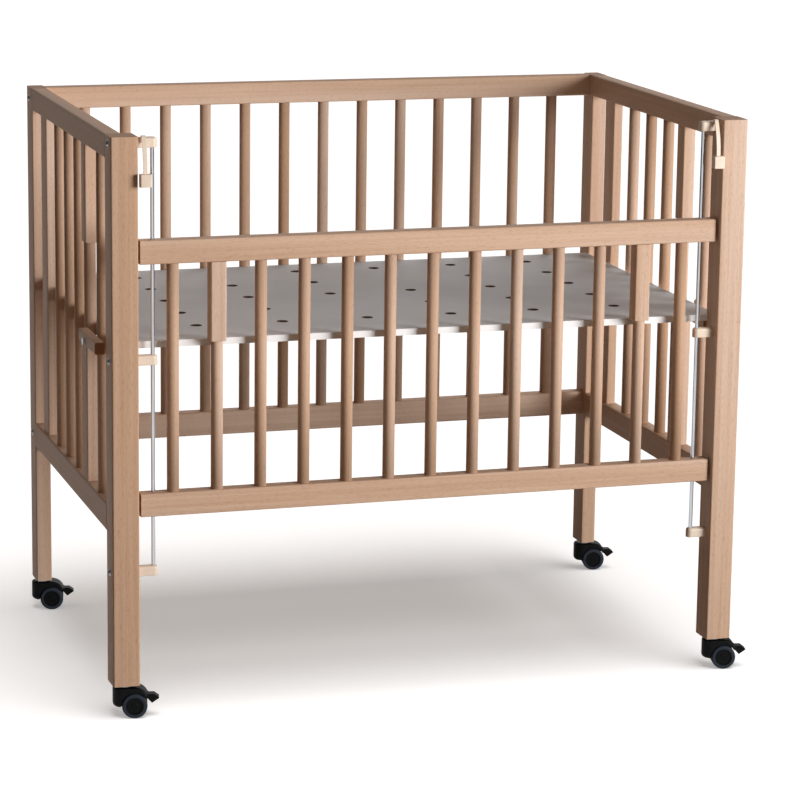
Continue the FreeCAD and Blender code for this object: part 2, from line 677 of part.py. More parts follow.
def base_cleat(side, sign):
    """Bar under the board's end, along the end frame, bored for the clamp's bolt."""
    cleat = new_body(f"base_cleat_{side}")
    inner = "(frame_length / 2 - end_thickness / 2 - end_block_thickness / 2 - seat_gap)"
    section = sketch_on(cleat, "XZ_Plane", f"-({POST_BEHIND} + cleat_end_gap)")
    near, far = f"{sign} * ({inner} - cleat_width)", f"{sign} * {inner}"
    outline(section, [
        (near, "-base_thickness - cleat_height"), (far, "-base_thickness - cleat_height"),
        (far, "-base_thickness"), (near, "-base_thickness")])
    pad(cleat, section, f"{BASE_DEPTH} - {POST_BEHIND} - 3 * cleat_end_gap",
        reverse=True)
    bore = sketch_on(cleat, "YZ_Plane")
    circle(bore, CLAMP_BOLT_Y, "-base_thickness - cleat_height / 2",
           "bolt_diameter + 4 * bore_play")
    cut(cleat, bore, centred=True)
    on_base(cleat)


CLAMP_BOLT_Y = ("(clamp_bolt_place - side_inset - panel_thickness - base_front_gap)")
CLAMP_BOLT_Z = ("(castor_height + base_rise - base_thickness - cleat_height / 2)")
CLAMP_INNER = "(frame_length / 2 - end_thickness / 2 + slat_diameter / 2 + seat_gap)"
CLEAT_INNER = ("(frame_length / 2 - end_thickness / 2 - end_block_thickness / 2"
               " - seat_gap - cleat_width)")


def clamp_bar(side, sign):
    """Short bar outside the end frame that the clamp bolt pulls against the slat."""
    clamp = bar(f"clamp_bar_{side}", "XZ_Plane", "clamp_thickness", "clamp_height",
                "clamp_length")
    bore = sketch_on(clamp, "YZ_Plane")
    circle(bore, "clamp_bolt_place - clamp_front", "clamp_bolt_rise",
           "bolt_diameter + 2 * bore_play")
    cut(clamp, bore, "clamp_thickness", reverse=True)
    least = CLAMP_INNER if side == "right" else f"-{CLAMP_INNER} - clamp_thickness"
    place(clamp, least, f"{FRONT} + clamp_front", f"{CLAMP_BOLT_Z} - clamp_bolt_rise")


# --- bolts ---------------------------------------------------------------------------

def bolt(name, sign, head_face, y, z, length):
    """Dome-headed bolt along X: head outside head_face, shank towards the middle."""
    shank_start = f"{head_face}" if sign < 0 else f"{head_face} - ({length})"
    head_start = f"{head_face} - bolt_head_height" if sign < 0 else head_face
    shank = rod(f"{name}_shank", "bolt_diameter / 2", length, shank_start, y, z, "X")
    head = rod(f"{name}_head", "bolt_head_diameter / 2", "bolt_head_height",
               head_start, y, z, "X")
    whole = doc.addObject("Part::Fuse", name)
    whole.Base, whole.Tool = head, shank
    return whole


def group(label, members):
    """Like fasteners of one side share a node as separate solids."""
    whole = doc.addObject("Part::Compound", label)
    whole.Label = label
    whole.Links = members
    nodes.append(whole)


def frame_bolts(side, sign):
    face = f"{sign} * frame_length / 2"
    members = [bolt(f"arm_bolt_{level}_{side}", sign, face, ROD_Y,
                    f"castor_height + {rise} + arm_height / 2",
                    "front_post_width + arm_bolt_grip")
               for level, rise in ARM_LEVELS.items()]
    members += [bolt(f"rail_bolt_{i}_{side}", sign, face,
                     f"{BACK_RAIL_Y} + panel_thickness / 2", level,
                     "back_post_width + rail_bolt_grip")
                for i, level in enumerate(RAIL_BOLT_LEVELS)]
    group(f"frame_bolts_{side}", members)


def clamp_bolts():
    """Clamp bolts with a wing nut on the inner face of each cleat."""
    members = []
    place_y = f"{FRONT} + clamp_bolt_place"
    for side, sign in SIDES.items():
        face = f"{sign} * ({CLAMP_INNER} + clamp_thickness)"
        shank = f"({CLAMP_INNER} + clamp_thickness - {CLEAT_INNER} + nut_height + 1)"
        screw = bolt(f"clamp_bolt_{side}", sign, face, place_y, CLAMP_BOLT_Z, shank)
        low = f"-{CLEAT_INNER}" if side == "left" else f"{CLEAT_INNER} - nut_height"
        nut = rod(f"wing_nut_hub_{side}", "nut_diameter / 2", "nut_height", low,
                  place_y, CLAMP_BOLT_Z, "X")
        wing = doc.addObject("Part::Box", f"wing_{side}")
        bind(wing, "Length", "wing_thickness")
        bind(wing, "Width", "wing_span")
        bind(wing, "Height", "wing_height")
        place(wing, f"{low} + nut_height / 2 - wing_thickness / 2",
              f"{place_y} - wing_span / 2", f"{CLAMP_BOLT_Z} - wing_height / 2")
        winged = doc.addObject("Part::MultiFuse", f"clamp_set_{side}")
        winged.Shapes = [screw, nut, wing]
        members.append(winged)
    group("clamp_bolts", members)


# --- castors -------------------------------------------------------------------------

WHEEL_R = "(wheel_diameter / 2)"
PIVOT_X = "(castor_trail + pedal_pivot_out)"
PIVOT_Z = f"({WHEEL_R} + pedal_pivot_up)"
WEB_HALF = "(wheel_gap / 2 - web_play)"


def about(x, z, radius, angle):
    """The point at this angle, in degrees from +X, on a circle about (x, z)."""
    return (f"{x} + {radius} * cos({angle} * 1 deg)",
            f"{z} + {radius} * sin({angle} * 1 deg)")


def castor_stem(corner, spot):
    """Stem in the post's end grain, collar under the post and swivel pin below."""
    stem = new_body(f"castor_stem_{corner}")
    half = sketch_on(stem, "XZ_Plane")
    outline(half, [
        ("0", "hood_top - pin_length"), ("pin_diameter / 2", "hood_top - pin_length"),
        ("pin_diameter / 2", "hood_top + swivel_gap"),
        ("collar_diameter / 2", "hood_top + swivel_gap"),
        ("collar_diameter / 2", "castor_height"), ("stem_diameter / 2", "castor_height"),
        ("stem_diameter / 2", "castor_height + stem_length"),
        ("0", "castor_height + stem_length")])
    turn(stem, half)
    place(stem, *spot, "0")


def castor_hood(corner, spot):
    """Moulded hood: a round nose about the swivel pin, a web between the wheels that
    carries the axle, and a shell over them that ends in two lugs for the pedal."""
    hood = new_body(f"castor_hood_{corner}")
    nose = sketch_on(hood, "XY_Plane", "nose_foot")
    circle(nose, "-nose_shift", "0", "hood_width")
    pad(hood, nose, "hood_top - nose_foot")
    soften(hood, "nose_round", lambda box: near(box.ZMax, value("nose_foot")))
    side = sketch_on(hood, "XZ_Plane")
    outline(side, [
        ("-nose_shift", "nose_foot"), ("-nose_shift", "hood_top"),
        ("castor_trail", "hood_top", "cw", "x", "castor_trail"),
        about("castor_trail", "hood_top - hood_bend", "hood_bend", "hood_end_turn"),
        (*about("castor_trail", WHEEL_R, "web_radius", "hood_end_turn"),
         "cw", "x", "castor_trail"),
        about("castor_trail", WHEEL_R, "web_radius", "-(90 + web_foot_turn / 2)")])
    pad(hood, side, "hood_width", centred=True)
    end_level = (value("hood_top") - value("hood_bend")
                 * (1 - math.sin(math.radians(value("hood_end_turn")))))
    soften(hood, "hood_round",
           lambda box: box.ZMin > end_level - 0.01 and box.XLength > 0.01)
    for offset, outward in ((WEB_HALF, False), (f"-{WEB_HALF}", True)):
        pocket = sketch_on(hood, "XZ_Plane", offset)
        circle(pocket, "castor_trail", WHEEL_R, "wheel_diameter + 2 * hood_clearance")
        cut(hood, pocket, "hood_width", reverse=not outward)
    lugs = sketch_on(hood, "XZ_Plane")
    circle(lugs, PIVOT_X, PIVOT_Z, "lug_diameter")
    pad(hood, lugs, "lug_span", centred=True)
    notch = sketch_on(hood, "XZ_Plane")
    circle(notch, PIVOT_X, PIVOT_Z, "lug_diameter + 4 * pedal_play")
    cut(hood, notch, "pedal_width + 2 * pedal_play", centred=True)
    pins = sketch_on(hood, "XZ_Plane")
    circle(pins, PIVOT_X, PIVOT_Z, "pedal_pin_diameter + 2 * fit_play")
    circle(pins, "castor_trail", WHEEL_R, "axle_diameter + 2 * fit_play")
    cut(hood, pins, "2 * hood_width", centred=True)
    swivel = sketch_on(hood, "XY_Plane", "hood_top")
    circle(swivel, "0", "0", "pin_diameter + 2 * fit_play")
    cut(hood, swivel, "pin_length + tenon_end_play")
    place(hood, *spot, "0", "castor_turn")


def on_trail(piece, spot, out, up):
    """Places a piece of a castor at a distance along its turned trail."""
    place(piece, f"{spot[0]} + {out} * cos(castor_turn * 1 deg)",
          f"{spot[1]} + {out} * sin(castor_turn * 1 deg)", up, "castor_turn")


def castor_wheels(corner, spot):
    """Axle, two dished hubs and a soft round-shouldered tyre on each."""
    hub_r = f"({WHEEL_R} - tyre_thickness)"
    inner, outer = "wheel_gap / 2", "(wheel_gap / 2 + wheel_width)"
    bore_r = "(axle_diameter / 2 + fit_play)"
    dish = f"{outer} - hub_recess"
    cap_r = "hub_cap_diameter / 2"

    axle = new_body(f"castor_axle_{corner}", node=False)
    section = sketch_on(axle, "XZ_Plane")
    circle(section, "0", "0", "axle_diameter")
    pad(axle, section, f"2 * ({dish})", centred=True)

    hubs = new_body(f"castor_hubs_{corner}", node=False)
    hub = sketch_on(hubs, "XY_Plane")
    outline(hub, [
        (bore_r, inner), (hub_r, inner), (hub_r, f"{outer} - hub_step / 2"),
        (f"{hub_r} - hub_rim", f"{outer} - hub_step / 2"),
        (f"{hub_r} - hub_rim - hub_step", dish), (f"{cap_r} + hub_step", dish),
        (cap_r, f"{outer} - hub_step"), (bore_r, f"{outer} - hub_step")])
    tyres = new_body(f"castor_tyres_{corner}", node=False)
    tyre = sketch_on(tyres, "XY_Plane")
    outline(tyre, [(hub_r, inner), (WHEEL_R, inner), (WHEEL_R, outer), (hub_r, outer)])
    turned = [turn(hubs, hub), turn(tyres, tyre)]
    shoulder = soften(tyres, "tyre_round",
                      lambda box: near(box.XMax, value("wheel_diameter") / 2)
                      and box.YLength < 0.01)
    for body, features in ((hubs, turned[:1]), (tyres, [turned[1], shoulder])):
        both = body.newObject("PartDesign::Mirrored", body.Name + "_both")
        both.Originals = features
        both.MirrorPlane = (origin_part(body, "XZ_Plane"), [""])
        body.Tip = both
        doc.recompute()
    for piece in (axle, hubs, tyres):
        on_trail(piece, spot, "castor_trail", WHEEL_R)
    group(f"castor_wheels_{corner}", [axle, hubs, tyres])


def castor_pedal(corner, spot):
    """Brake pedal: a fishtail blade on a knuckle and pin between the hood's lugs. Its
    lower face comes down on the tread."""
    pedal = new_body(f"castor_pedal_{corner}")
    knuckle = sketch_on(pedal, "XZ_Plane")
    circle(knuckle, "0", "0", "lug_diameter")
    pad(pedal, knuckle, "pedal_width", centred=True)
    blade = sketch_on(pedal, "XZ_Plane")
    outline(blade, [
        ("0", "pedal_rise"), ("pedal_back", "pedal_rise"),
        ("pedal_reach", "-pedal_tip_drop"), ("pedal_foot_out", "-pedal_foot_drop"),
        ("pedal_throat_out", "-pedal_throat_drop"), ("0", "0")])
    pad(pedal, blade, "pedal_width", centred=True)
    soften(pedal, "pedal_round", lambda box: box.XMin > value("pedal_foot_out") - 0.01
           and near(box.XLength, 0))
    pin = sketch_on(pedal, "XZ_Plane")
    circle(pin, "0", "0", "pedal_pin_diameter")
    pad(pedal, pin, "lug_span", centred=True)
    on_trail(pedal, spot, PIVOT_X, PIVOT_Z)


def castor(corner, spot):
    castor_stem(corner, spot)
    castor_hood(corner, spot)
    castor_wheels(corner, spot)
    castor_pedal(corner, spot)


def castors():
    for side, sign in SIDES.items():
        castor(f"front_{side}",
               (f"{sign} * (frame_length / 2 - front_post_width / 2)",
                f"{FRONT} + front_post_depth / 2"))
        castor(f"back_{side}",
               (f"{sign} * (frame_length / 2 - back_post_width / 2)",
                f"{BACK} - back_post_depth / 2"))


# --- assembly ------------------------------------------------------------------------

for side, sign in SIDES.items():
    front_post(side)
    back_post(side)
    end_rail(side, "top")
    end_rail(side, "bottom")
    end_slats(side)
    end_blocks(side)
    end_board(side)
    rod_arms(side, sign)
    guide_rod(side, sign)
    latch(side, sign)
    base_cleat(side, sign)
    clamp_bar(side, sign)
    frame_bolts(side, sign)
back_panel()
sliding_side()
base_board()
clamp_bolts()
castors()
doc.recompute()

for item in doc.Objects:
    if "Invalid" in item.State or "Error" in item.State:
        raise RuntimeError(f"{item.Name} failed: {item.State}")
for node in nodes:
    if node.Shape.isNull() or not node.Shape.isValid():
        raise RuntimeError(f"{node.Label} has no valid shape")

os.makedirs("parts", exist_ok=True)
for node in nodes:
    node.Shape.exportStep(f"parts/{node.Label}.step")
    box = node.Shape.BoundBox
    print(f"{node.Label:24} {len(node.Shape.Solids)} solids "
          f"X {box.XMin:.1f} {box.XMax:.1f} Y {box.YMin:.1f} {box.YMax:.1f} "
          f"Z {box.ZMin:.1f} {box.ZMax:.1f}")
print(len(nodes), "nodes")
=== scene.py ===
import json
import math

import bmesh
import bpy
from mathutils import Matrix, Vector


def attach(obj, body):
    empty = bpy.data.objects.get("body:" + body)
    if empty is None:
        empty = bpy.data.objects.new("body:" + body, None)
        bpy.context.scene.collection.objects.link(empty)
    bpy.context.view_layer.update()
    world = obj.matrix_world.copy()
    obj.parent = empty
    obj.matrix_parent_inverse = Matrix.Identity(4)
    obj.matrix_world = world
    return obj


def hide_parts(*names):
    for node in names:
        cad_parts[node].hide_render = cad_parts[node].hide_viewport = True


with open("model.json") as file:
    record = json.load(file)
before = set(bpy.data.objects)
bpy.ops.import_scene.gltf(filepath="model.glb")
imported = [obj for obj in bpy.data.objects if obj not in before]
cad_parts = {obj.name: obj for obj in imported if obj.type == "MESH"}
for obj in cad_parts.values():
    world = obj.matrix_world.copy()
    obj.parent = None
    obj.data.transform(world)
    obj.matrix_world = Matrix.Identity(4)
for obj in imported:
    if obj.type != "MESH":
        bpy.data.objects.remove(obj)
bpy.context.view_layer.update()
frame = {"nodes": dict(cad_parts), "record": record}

# Bedside sleeper crib of lacquered beech. Every length is in metres.

BODY_OF = {node: body for body, nodes in frame["record"]["behaviour"]["bodies"].items()
           for node in nodes}
JOINTS = {joint["name"]: joint for joint in frame["record"]["behaviour"]["joints"]}
MM = 0.001
SIDES = {"left": -1, "right": 1}
CORNERS = ("front_left", "back_left", "front_right", "back_right")

# round slats: 18 mm thick, with a tenon 11 mm thick and 12 mm long at each end
SLAT_RADIUS, TENON_RADIUS, TENON = 9 * MM, 5.5 * MM, 12 * MM
SLAT_SIDES = 56
PANEL_FOOT, PANEL_SLAT = 321 * MM, 516 * MM
SIDE_FOOT, SIDE_SLAT = 342 * MM, 342 * MM
END_X, BACK_Y, ROD_Y = 481.5 * MM, 300 * MM, -300 * MM
ROW_SLATS = 13
BACK_ROW = [(-403.2 + number * 67.2) * MM for number in range(ROW_SLATS)]
SIDE_ROW = [(-399 + number * 66.5) * MM for number in range(ROW_SLATS)]
END_ROW = [y * MM for y in (-201, -110, -36, 38, 112)]

# bolts: a 6 mm shank under an 11 mm head that stands 3 mm proud
HEAD_RADIUS, HEAD_RISE, SHANK_RADIUS = 5.5 * MM, 3 * MM, 3 * MM
SOCKET_RADIUS, SOCKET_DEPTH = 2.4 * MM, 1.7 * MM
BALL_SEGMENTS, BALL_RINGS, SHANK_SIDES = 48, 40, 32
POST_FACE = 494 * MM
ARM_BOLTS, ARM_SHANK = [z * MM for z in (861.5, 541.5, 223.5)], 52 * MM
RAIL_BOLTS, RAIL_SHANK = [z * MM for z in (854.5, 301)], 55 * MM

# base board, and the grid on which its vents are drilled
BOARD_X, BOARD_FRONT, BOARD_BACK = 467.5 * MM, -286 * MM, 286 * MM
BOARD_LOW, BOARD_THICK = 556 * MM, 10 * MM
VENT_RADIUS, VENT_SIDES, VENT_COLUMNS, VENT_ROWS = 9 * MM, 48, 6, 5
VENTS_X, VENTS_FRONT, VENTS_BACK = 335.75 * MM, -185 * MM, 223 * MM

# castor wheels: the hub that shows beside the tread
HUB_RADIUS = 13.5 * MM

# tolerances: points that are one, places that match, and a radius cut into facets
SAME_POINT, SAME_PLACE, SAME_RADIUS = 0.002 * MM, 0.01 * MM, 0.05 * MM
# edges sharper than this stay sharp, in degrees
SHARP, WHEEL_SHARP = 32, 28

# depth of the finest relief on a surface: wood pores, mould texture, pebbled facing
RELIEF = 0.1 * MM


# --- materials -----------------------------------------------------------------------

def linear(code):
    """sRGB hex to linear RGBA."""
    parts = [int(code[i:i + 2], 16) / 255 for i in (1, 3, 5)]
    return tuple(p / 12.92 if p <= 0.04045 else ((p + 0.055) / 1.055) ** 2.4
                 for p in parts) + (1,)


WHITE = linear("#FFFFFF")


def feed(tree, node, inputs):
    """Gives inputs, by name or number, a plain value, a socket, or a node, which
    stands for its first output in use. A list goes into an input that joins."""
    for name, given in inputs.items():
        for source in given if isinstance(given, list) else [given]:
            if isinstance(source, bpy.types.Node):
                source = next(socket for socket in source.outputs if socket.enabled)
            if isinstance(source, bpy.types.NodeSocket):
                tree.links.new(source, node.inputs[name])
            else:
                node.inputs[name].default_value = source


def add(tree, kind, inputs=None, stops=(), **settings):
    """Adds a node; stops are the rising positions and colours of a colour ramp."""
    node = tree.nodes.new(kind)
    for setting, value in settings.items():
        setattr(node, setting, value)
    feed(tree, node, inputs or {})
    for number, (position, colour) in enumerate(stops):
        marks = node.color_ramp.elements
        mark = marks[number] if number < len(marks) else marks.new(position)
        mark.position = position
        mark.color = colour
    return node


def new_material(name, finish):
    """A Principled material; finish gives its constant inputs."""
    material = bpy.data.materials.new(name)
    material.use_nodes = True
    tree = material.node_tree
    shader = tree.nodes["Principled BSDF"]
    feed(tree, shader, finish)
    return material, tree, shader


def beech(grain):
    """Steamed beech under satin lacquer: a pinkish tan with soft, wide growth bands
    and the short dark dashes of its rays, all drawn out along the grain."""
    material, tree, shader = new_material(f"beech_satin_lacquer_grain_{grain}", {
        "IOR": 1.5, "Specular IOR Level": 0.12, "Coat Weight": 0.02,
        "Coat Roughness": 0.4})
    surface = add(tree, "ShaderNodeTexCoord")
    along = "xyz".index(grain)

    def drawn_out(long_mm, wide_mm, detail, distortion=0.0):
        """Noise of one size along the grain and another across it."""
        size = [1 / (wide_mm * MM)] * 3
        size[along] = 1 / (long_mm * MM)
        scaled = add(tree, "ShaderNodeVectorMath", {
            0: surface.outputs["Object"], 1: tuple(size)}, operation="MULTIPLY")
        return add(tree, "ShaderNodeTexNoise", {
            "Vector": scaled, "Scale": 1.0, "Detail": detail, "Distortion": distortion})

    # each stick was sawn from another plank: the tone changes every 60 mm across
    tone = add(tree, "ShaderNodeValToRGB", {"Fac": drawn_out(1500, 62, 0.0)}, [
        (0.30, linear("#C9A68A")), (0.50, linear("#D2B299")), (0.72, linear("#DBC0AC"))])
    # growth bands 7 mm wide, wandering along the stick
    bands = drawn_out(420, 7, 3.0, 0.6)
    band_tint = add(tree, "ShaderNodeValToRGB", {"Fac": bands}, [
        (0.34, linear("#CFB29E")), (0.66, WHITE)])
    banded = add(tree, "ShaderNodeMix", {"Factor": 0.3, "A": tone, "B": band_tint},
                 data_type="RGBA", blend_type="MULTIPLY")
    # ray dashes, 3 by 0.4 mm on real beech, drawn 7 by 0.9 mm so that they show
    dashes = add(tree, "ShaderNodeValToRGB", {"Fac": drawn_out(7, 0.9, 1.0)}, [
        (0.30, linear("#A87A55")), (0.42, WHITE)])
    dashed = add(tree, "ShaderNodeMix", {"Factor": 0.24, "A": banded, "B": dashes},
                 data_type="RGBA", blend_type="MULTIPLY")
    # end grain soaks up more lacquer and reads darker
    facing = add(tree, "ShaderNodeSeparateXYZ", {0: surface.outputs["Normal"]})
    end = add(tree, "ShaderNodeMath", {0: facing.outputs[along]}, operation="ABSOLUTE")
    end_only = add(tree, "ShaderNodeMapRange", {
        "Value": end, "From Min": 0.75, "From Max": 0.95})
    ended = add(tree, "ShaderNodeMix", {
        "Factor": end_only, "A": dashed, "B": linear("#A67C5C")}, data_type="RGBA")
    gloss = add(tree, "ShaderNodeMapRange", {
        "Value": bands, "To Min": 0.46, "To Max": 0.6})
    # pores, under 0.1 mm wide on real beech, drawn 0.8 mm wide so that they show
    pores = add(tree, "ShaderNodeBump", {
        "Height": drawn_out(30, 0.8, 2.0), "Strength": 0.18, "Distance": RELIEF})
    feed(tree, shader, {"Base Color": ended, "Roughness": gloss, "Normal": pores})
    return material


def moulded(name, colour, mottle, roughness, specular=0.5, grit_mm=0.6):
    """Injection-moulded plastic: one colour with faint flow clouds, 14 mm across, and
    the spark texture of the mould, drawn coarser than it is so that it shows."""
    material, tree, shader = new_material(name, {
        "Roughness": roughness, "Specular IOR Level": specular})
    place = add(tree, "ShaderNodeTexCoord").outputs["Object"]
    clouds = add(tree, "ShaderNodeTexNoise", {
        "Vector": place, "Scale": 1 / (14 * MM), "Detail": 3.0})
    tint = add(tree, "ShaderNodeValToRGB", {"Fac": clouds}, [
        (0.3, linear(mottle)), (0.7, linear(colour))])
    grit = add(tree, "ShaderNodeTexNoise", {
        "Vector": place, "Scale": 1 / (grit_mm * MM), "Detail": 1.0})
    texture = add(tree, "ShaderNodeBump", {
        "Height": grit, "Strength": 0.12, "Distance": RELIEF})
    feed(tree, shader, {"Base Color": tint, "Normal": texture})
    return material


def metal(name, colour, dull, streak_axis, gloss_range, streak_mm):
    """Plated metal whose polish varies in streaks, 25 times as long as wide, and
    drawn wider than they are so that they show."""
    material, tree, shader = new_material(name, {"Metallic": 1.0})
    size = [1 / (streak_mm * MM)] * 3
    size["xyz".index(streak_axis)] /= 25
    scaled = add(tree, "ShaderNodeVectorMath", {
        0: add(tree, "ShaderNodeTexCoord").outputs["Object"], 1: tuple(size)},
        operation="MULTIPLY")
    streaks = add(tree, "ShaderNodeTexNoise", {
        "Vector": scaled, "Scale": 1.0, "Detail": 2.0})
    tint = add(tree, "ShaderNodeValToRGB", {"Fac": streaks}, [
        (0.35, linear(dull)), (0.6, linear(colour))])
    low, high = gloss_range
    gloss = add(tree, "ShaderNodeMapRange", {
        "Value": streaks, "To Min": low, "To Max": high})
    feed(tree, shader, {"Base Color": tint, "Roughness": gloss})
    return material


def melamine():
    """Melamine-faced board: white, with a barely visible pebble. Its flat faces are
    painted pale grey as shade; the upright edges, where the strip is ironed on, stay white."""
    material, tree, shader = new_material("melamine_faced_board", {
        "Roughness": 0.55, "Specular IOR Level": 0.2})
    surface = add(tree, "ShaderNodeTexCoord")
    haze = add(tree, "ShaderNodeTexNoise", {
        "Vector": surface.outputs["Object"], "Scale": 1 / (160 * MM), "Detail": 2.0})
    # the flat faces: pale grey with a faint haze, painted as shade on the white board
    face = add(tree, "ShaderNodeValToRGB", {"Fac": haze}, [
        (0.35, linear("#CED1D5")), (0.65, linear("#D6D8DB"))])
    facing = add(tree, "ShaderNodeSeparateXYZ", {0: surface.outputs["Normal"]})
    level = add(tree, "ShaderNodeMath", {0: facing.outputs["Z"]}, operation="ABSOLUTE")
    # white on the upright edges, the painted grey shade on the flat faces
    edge_or_shaded_face = add(tree, "ShaderNodeMix", {
        "Factor": level, "A": linear("#F3F3F4"), "B": face}, data_type="RGBA")
    pebble = add(tree, "ShaderNodeTexNoise", {
        "Vector": surface.outputs["Object"], "Scale": 1 / (1.2 * MM), "Detail": 1.0})
    texture = add(tree, "ShaderNodeBump", {
        "Height": pebble, "Strength": 0.1, "Distance": RELIEF})
    feed(tree, shader, {"Base Color": edge_or_shaded_face, "Normal": texture})
    return material


def chipboard():
    """Raw chipboard inside the drilled vents: brown flakes, painted dark as shade."""
    material, tree, shader = new_material("raw_chipboard", {"Roughness": 0.9})
    flakes = add(tree, "ShaderNodeTexVoronoi", {
        "Vector": add(tree, "ShaderNodeTexCoord").outputs["Object"],
        "Scale": 1 / (1.6 * MM)})
    shade = add(tree, "ShaderNodeSeparateColor", {0: flakes.outputs["Color"]})
    # brown of the raw board, painted dark as the shade inside the bores
    tint = add(tree, "ShaderNodeValToRGB", {"Fac": shade}, [
        (0.1, linear("#3A2A22")), (0.9, linear("#6A5140"))])
    feed(tree, shader, {"Base Color": tint})
    return material


BEECH = {axis: beech(axis) for axis in "xyz"}
# the arms and latches: warm cream with a soft sheen
CREAM = moulded("cream_nylon_moulded", "#EAD8C6", "#E3CFBA", 0.42)
# the castors' hoods, pedals and hubs: deep black with hardly any sheen
BLACK = moulded("black_nylon_moulded", "#070809", "#040506", 0.45, 0.09)
# their treads: duller, bluer and a little coarser
TREAD = moulded("blue_grey_soft_tread", "#2F3742", "#272E38", 0.55, 0.15, 0.9)
# the guide rods: a near mirror that shows the room as dark and white stripes
ROD_STEEL = metal("chrome_plated_rod", "#C6CBD1", "#B4BAC2", "z", (0.06, 0.12), 2)
# bolts and stems: grey, with blurred reflections
ZINC = metal("zinc_plated_steel", "#94979B", "#797D82", "x", (0.28, 0.42), 3)
# the base board: white, its flat faces painted pale grey as shade
BOARD = melamine()
# the vent walls: raw board painted dark as the shade inside the bores
VENT = chipboard()


# --- pieces --------------------------------------------------------------------------

def placed(name, data):
    """Puts an object in the scene."""
    thing = bpy.data.objects.new(name, data)
    bpy.context.scene.collection.objects.link(thing)
    return thing


def stands_for(piece, node):
    """Lets a piece ride on its node's body and show in its place."""
    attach(piece, BODY_OF[node])
    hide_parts(node)


def smooth_copy(node, material, sharp=SHARP):
    """The node's own shape, merged and shaded smooth across its rounded edges."""
    mesh = frame["nodes"][node].data.copy()
    mesh.name = f"{node}_dressed"
    mesh.attributes.remove(mesh.attributes["custom_normal"])
    work = bmesh.new()
    work.from_mesh(mesh)
    bmesh.ops.remove_doubles(work, verts=work.verts, dist=SAME_POINT)
    limit = math.radians(sharp)
    for edge in work.edges:
        edge.smooth = len(edge.link_faces) == 2 and edge.calc_face_angle() < limit
    for face in work.faces:
        face.smooth = True
    work.to_mesh(mesh)
    work.free()
    piece = placed(f"{node}_dressed", mesh)
    mesh.materials.clear()
    mesh.materials.append(material)
    stands_for(piece, node)
    return piece


# --- geometry nodes ------------------------------------------------------------------

def new_tree(name, sizes):
    """A geometry tree with a mesh coming in and named inputs; returns the tree, the
    incoming mesh and the inputs' sockets by name."""
    tree = bpy.data.node_groups.new(name, "GeometryNodeTree")
    tree.interface.new_socket("Geometry", in_out="INPUT", socket_type="NodeSocketGeometry")
    tree.interface.new_socket("Geometry", in_out="OUTPUT", socket_type="NodeSocketGeometry")
    for label, kind in sizes.items():
        tree.interface.new_socket(label, in_out="INPUT", socket_type=f"NodeSocket{kind}")
    entry = add(tree, "NodeGroupInput")
    return tree, entry.outputs[0], {label: entry.outputs[label] for label in sizes}


def close_tree(tree, shape, material):
    """Ends a tree in real geometry with its material set."""
    real = add(tree, "GeometryNodeRealizeInstances", {0: shape})
    dressed = add(tree, "GeometryNodeSetMaterial", {0: real, "Material": material})
    add(tree, "NodeGroupOutput", {0: dressed})


def round_bar(tree, radius, length, base=0.0):
    """A bar on Z from a base height up, smooth round its side and flat at its ends."""
    bar = add(tree, "GeometryNodeMeshCylinder", {
        "Vertices": SLAT_SIDES, "Radius": radius, "Depth": length})
    shaded = add(tree, "GeometryNodeSetShadeSmooth", {
        "Geometry": bar, "Selection": bar.outputs["Side"]})
    middle = add(tree, "ShaderNodeMath", {0: length, 1: 0.5, 2: base},
                 operation="MULTIPLY_ADD")
    return add(tree, "GeometryNodeTransform", {
        "Geometry": shaded,
        "Translation": add(tree, "ShaderNodeCombineXYZ", {"Z": middle})})


def slat_tree():
    """A turned slat with a tenon at each end, stood on every point of the mesh."""
    tree, points, size = new_tree("turned_slats", {
        "Length": "Float", "Radius": "Float", "Tenon Radius": "Float",
        "Tenon": "Float", "Wood": "Material"})
    stick = round_bar(tree, size["Radius"], size["Length"])
    below = add(tree, "ShaderNodeMath", {0: size["Tenon"], 1: -1.0}, operation="MULTIPLY")
    foot = round_bar(tree, size["Tenon Radius"], size["Tenon"], below)
    head = round_bar(tree, size["Tenon Radius"], size["Tenon"], size["Length"])
    slat = add(tree, "GeometryNodeJoinGeometry", {0: [stick, foot, head]})
    row = add(tree, "GeometryNodeInstanceOnPoints", {"Points": points, "Instance": slat})
    close_tree(tree, row, size["Wood"])
    return tree


